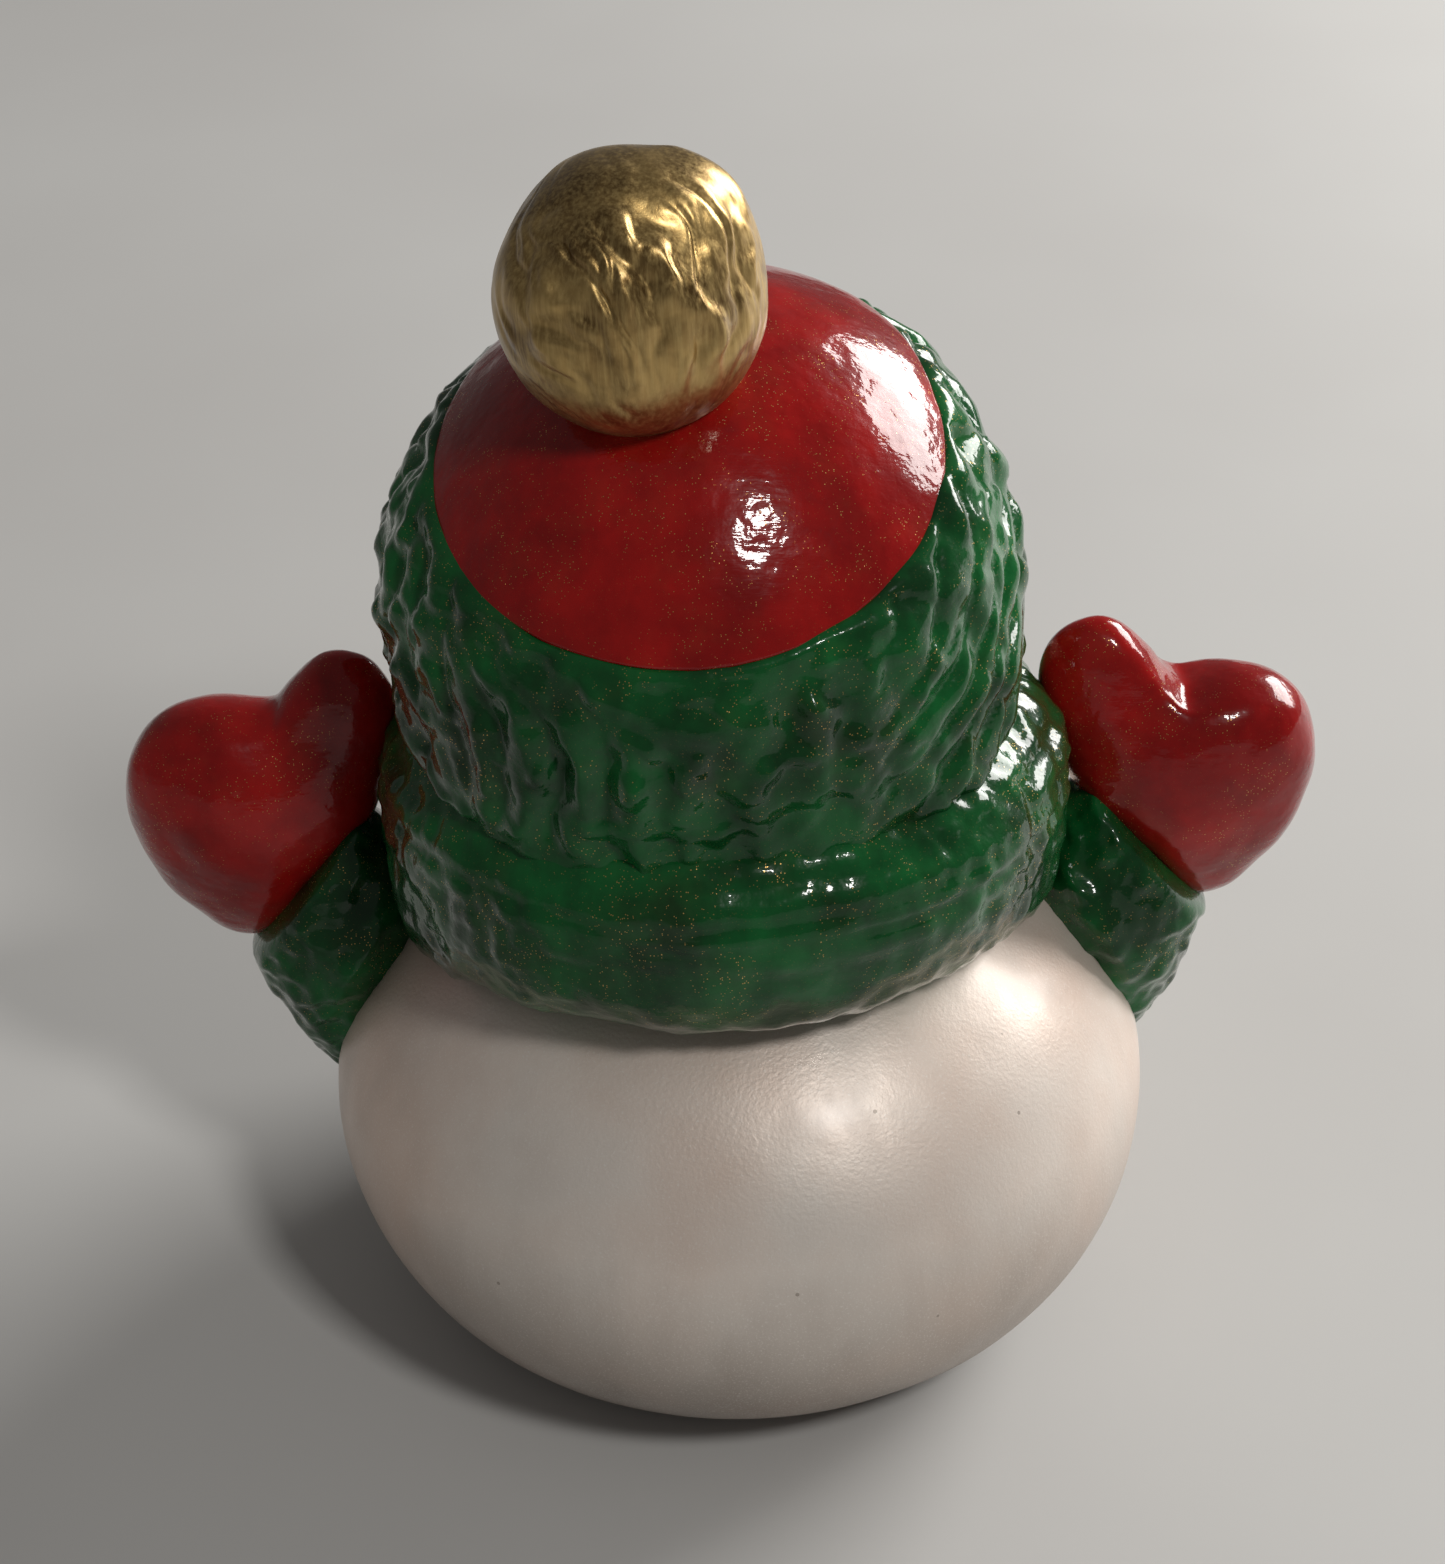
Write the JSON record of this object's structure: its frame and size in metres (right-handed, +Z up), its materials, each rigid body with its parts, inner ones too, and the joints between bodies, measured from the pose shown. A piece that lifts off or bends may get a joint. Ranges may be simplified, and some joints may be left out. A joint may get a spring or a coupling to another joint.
{
  "type": "tomte gnome figurine",
  "caption": "Squat slip-cast gnome with raised mittens, round pearl body, fat knitted scarf, red cap with knitted cuff and gold pompom, nose, moustache and beard in front",
  "frame": {"origin": "centre of the flat foot, on the surface the figure stands on", "axes": "+Z up; the figure faces -Y, so its left hand is on +X"},
  "size_m": [0.098, 0.0703, 0.1097],
  "materials": {
    "body_glaze": "pearl white paint under a satin varnish, with a faint orange-peel surface",
    "beard_glaze": "pearl white paint under a satin varnish, over combed strands",
    "knit_green": "deep green gloss with sparse gold glitter over modelled knitting",
    "red_glaze": "deep red gloss with fine gold glitter",
    "old_gold": "brushed metallic gold paint, semi-gloss",
    "skin_glaze": "warm flesh-tone gloss"
  },
  "bodies": {
    "root": {"body_shell": "body_glaze", "scarf_wrap": "knit_green", "scarf_knot": "knit_green", "scarf_tail_long": "knit_green", "scarf_tail_short": "knit_green", "head_shell": "skin_glaze", "nose": "skin_glaze", "hat_cuff": "knit_green", "hat_crown": "red_glaze", "pompom": "old_gold", "moustache_left": "beard_glaze", "moustache_right": "beard_glaze", "beard": "beard_glaze", "sleeve_left": "knit_green", "sleeve_right": "knit_green", "mitten_left": "red_glaze", "mitten_right": "red_glaze"}
  },
  "joints": []
}
